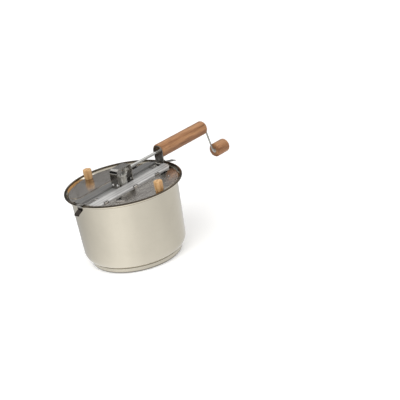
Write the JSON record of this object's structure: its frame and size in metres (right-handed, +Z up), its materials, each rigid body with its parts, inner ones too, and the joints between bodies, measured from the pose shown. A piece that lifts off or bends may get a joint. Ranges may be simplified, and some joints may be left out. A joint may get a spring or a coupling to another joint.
{
  "type": "stovetop popcorn popper",
  "caption": "Stovetop popcorn popper: polished steel pot, lift-off lid with hinged halves, wooden knobs and handle, and a hand crank turning a wire stirrer through bevel gears.",
  "frame": {"origin": "centre of the pot's flat base, on the surface it stands on", "axes": "+Z up along the pot's axis; +X along the lid's crossbar towards the handle; -Y towards the half lid nearer the viewer"},
  "size_m": [0.4609, 0.254, 0.2053],
  "materials": {
    "pot_steel": "mirror-polished stainless steel",
    "base_steel": "satin, finely turned",
    "lid_steel": "polished, faintly brushed along the crossbar",
    "bracket_steel": "bright plated strip",
    "wire_steel": "bright plated wire and tube",
    "gear_steel": "bright plated casting",
    "pin_steel": "satin",
    "bush_brass": "turned",
    "knob_wood": "clear-lacquered pale hardwood",
    "handle_wood": "clear-lacquered reddish hardwood"
  },
  "bodies": {
    "pot": {"pot_shell": "pot_steel", "base_disc": "base_steel"},
    "lid": {"crossbar": "lid_steel", "hinge_pin_far": "pin_steel", "hinge_pin_near": "pin_steel", "gear_bracket": "bracket_steel", "bracket_base": "bracket_steel", "bracket_rivets": "pin_steel", "stir_bush": "bush_brass", "bearing_tube": "wire_steel", "handle": "handle_wood", "handle_bracket": "bracket_steel", "handle_bracket_rivets": "pin_steel", "rear_clip": "bracket_steel", "rear_clip_rivet": "pin_steel", "latch_arm": "bracket_steel", "latch_arm_rivets": "pin_steel", "latch_pin": "pin_steel"},
    "near_half_lid": {"flap_near": "lid_steel", "knob_near": "knob_wood", "knob_screw_near": "pin_steel"},
    "far_half_lid": {"flap_far": "lid_steel", "knob_far": "knob_wood", "knob_screw_far": "pin_steel"},
    "crank": {"crank_rod": "wire_steel", "crank_gear": "gear_steel", "crank_gear_pin": "pin_steel", "thrust_washer": "pin_steel", "knob_washer": "pin_steel", "knob_retainer": "pin_steel"},
    "crank_grip": {"crank_knob": "handle_wood"},
    "stirrer": {"stir_gear": "gear_steel", "stir_gear_pin": "pin_steel", "stir_rod": "wire_steel", "rod_clip": "pin_steel", "stir_hub": "gear_steel", "stir_hub_pin": "pin_steel", "stir_arms": "wire_steel"},
    "latch": {"front_latch": "bracket_steel"}
  },
  "joints": [
    {"name": "lid_lift", "type": "slide", "parent": "pot", "child": "lid", "axis": [0, 0, 1], "range_m": [0, 0.17]},
    {"name": "near_flap_hinge", "type": "hinge", "parent": "lid", "child": "near_half_lid", "pos_m": [0, -0.0356, 0.16045], "axis": [-1, 0, 0], "range_deg": [0, 95]},
    {"name": "far_flap_hinge", "type": "hinge", "parent": "lid", "child": "far_half_lid", "pos_m": [0, 0.0356, 0.16045], "axis": [1, 0, 0], "range_deg": [0, 95]},
    {"name": "crank_turn", "type": "hinge", "parent": "lid", "child": "crank", "pos_m": [0.264, 0, 0.1895], "axis": [1, 0, 0], "continuous": true},
    {"name": "grip_spin", "type": "hinge", "parent": "crank", "child": "crank_grip", "pos_m": [0.2989, -0.01464, 0.1308], "axis": [1, 0, 0], "continuous": true},
    {"name": "stir_turn", "type": "hinge", "parent": "lid", "child": "stirrer", "pos_m": [0, 0, 0.1595], "axis": [0, 0, 1], "continuous": true},
    {"name": "latch_hinge", "type": "hinge", "parent": "lid", "child": "latch", "pos_m": [-0.1297, 0, 0.16845], "axis": [0, 1, 0], "range_deg": [-9, 50]}
  ],
  "couplings": [
    {"joint": "stir_turn", "follows": "crank_turn", "ratio": 0.75}
  ]
}
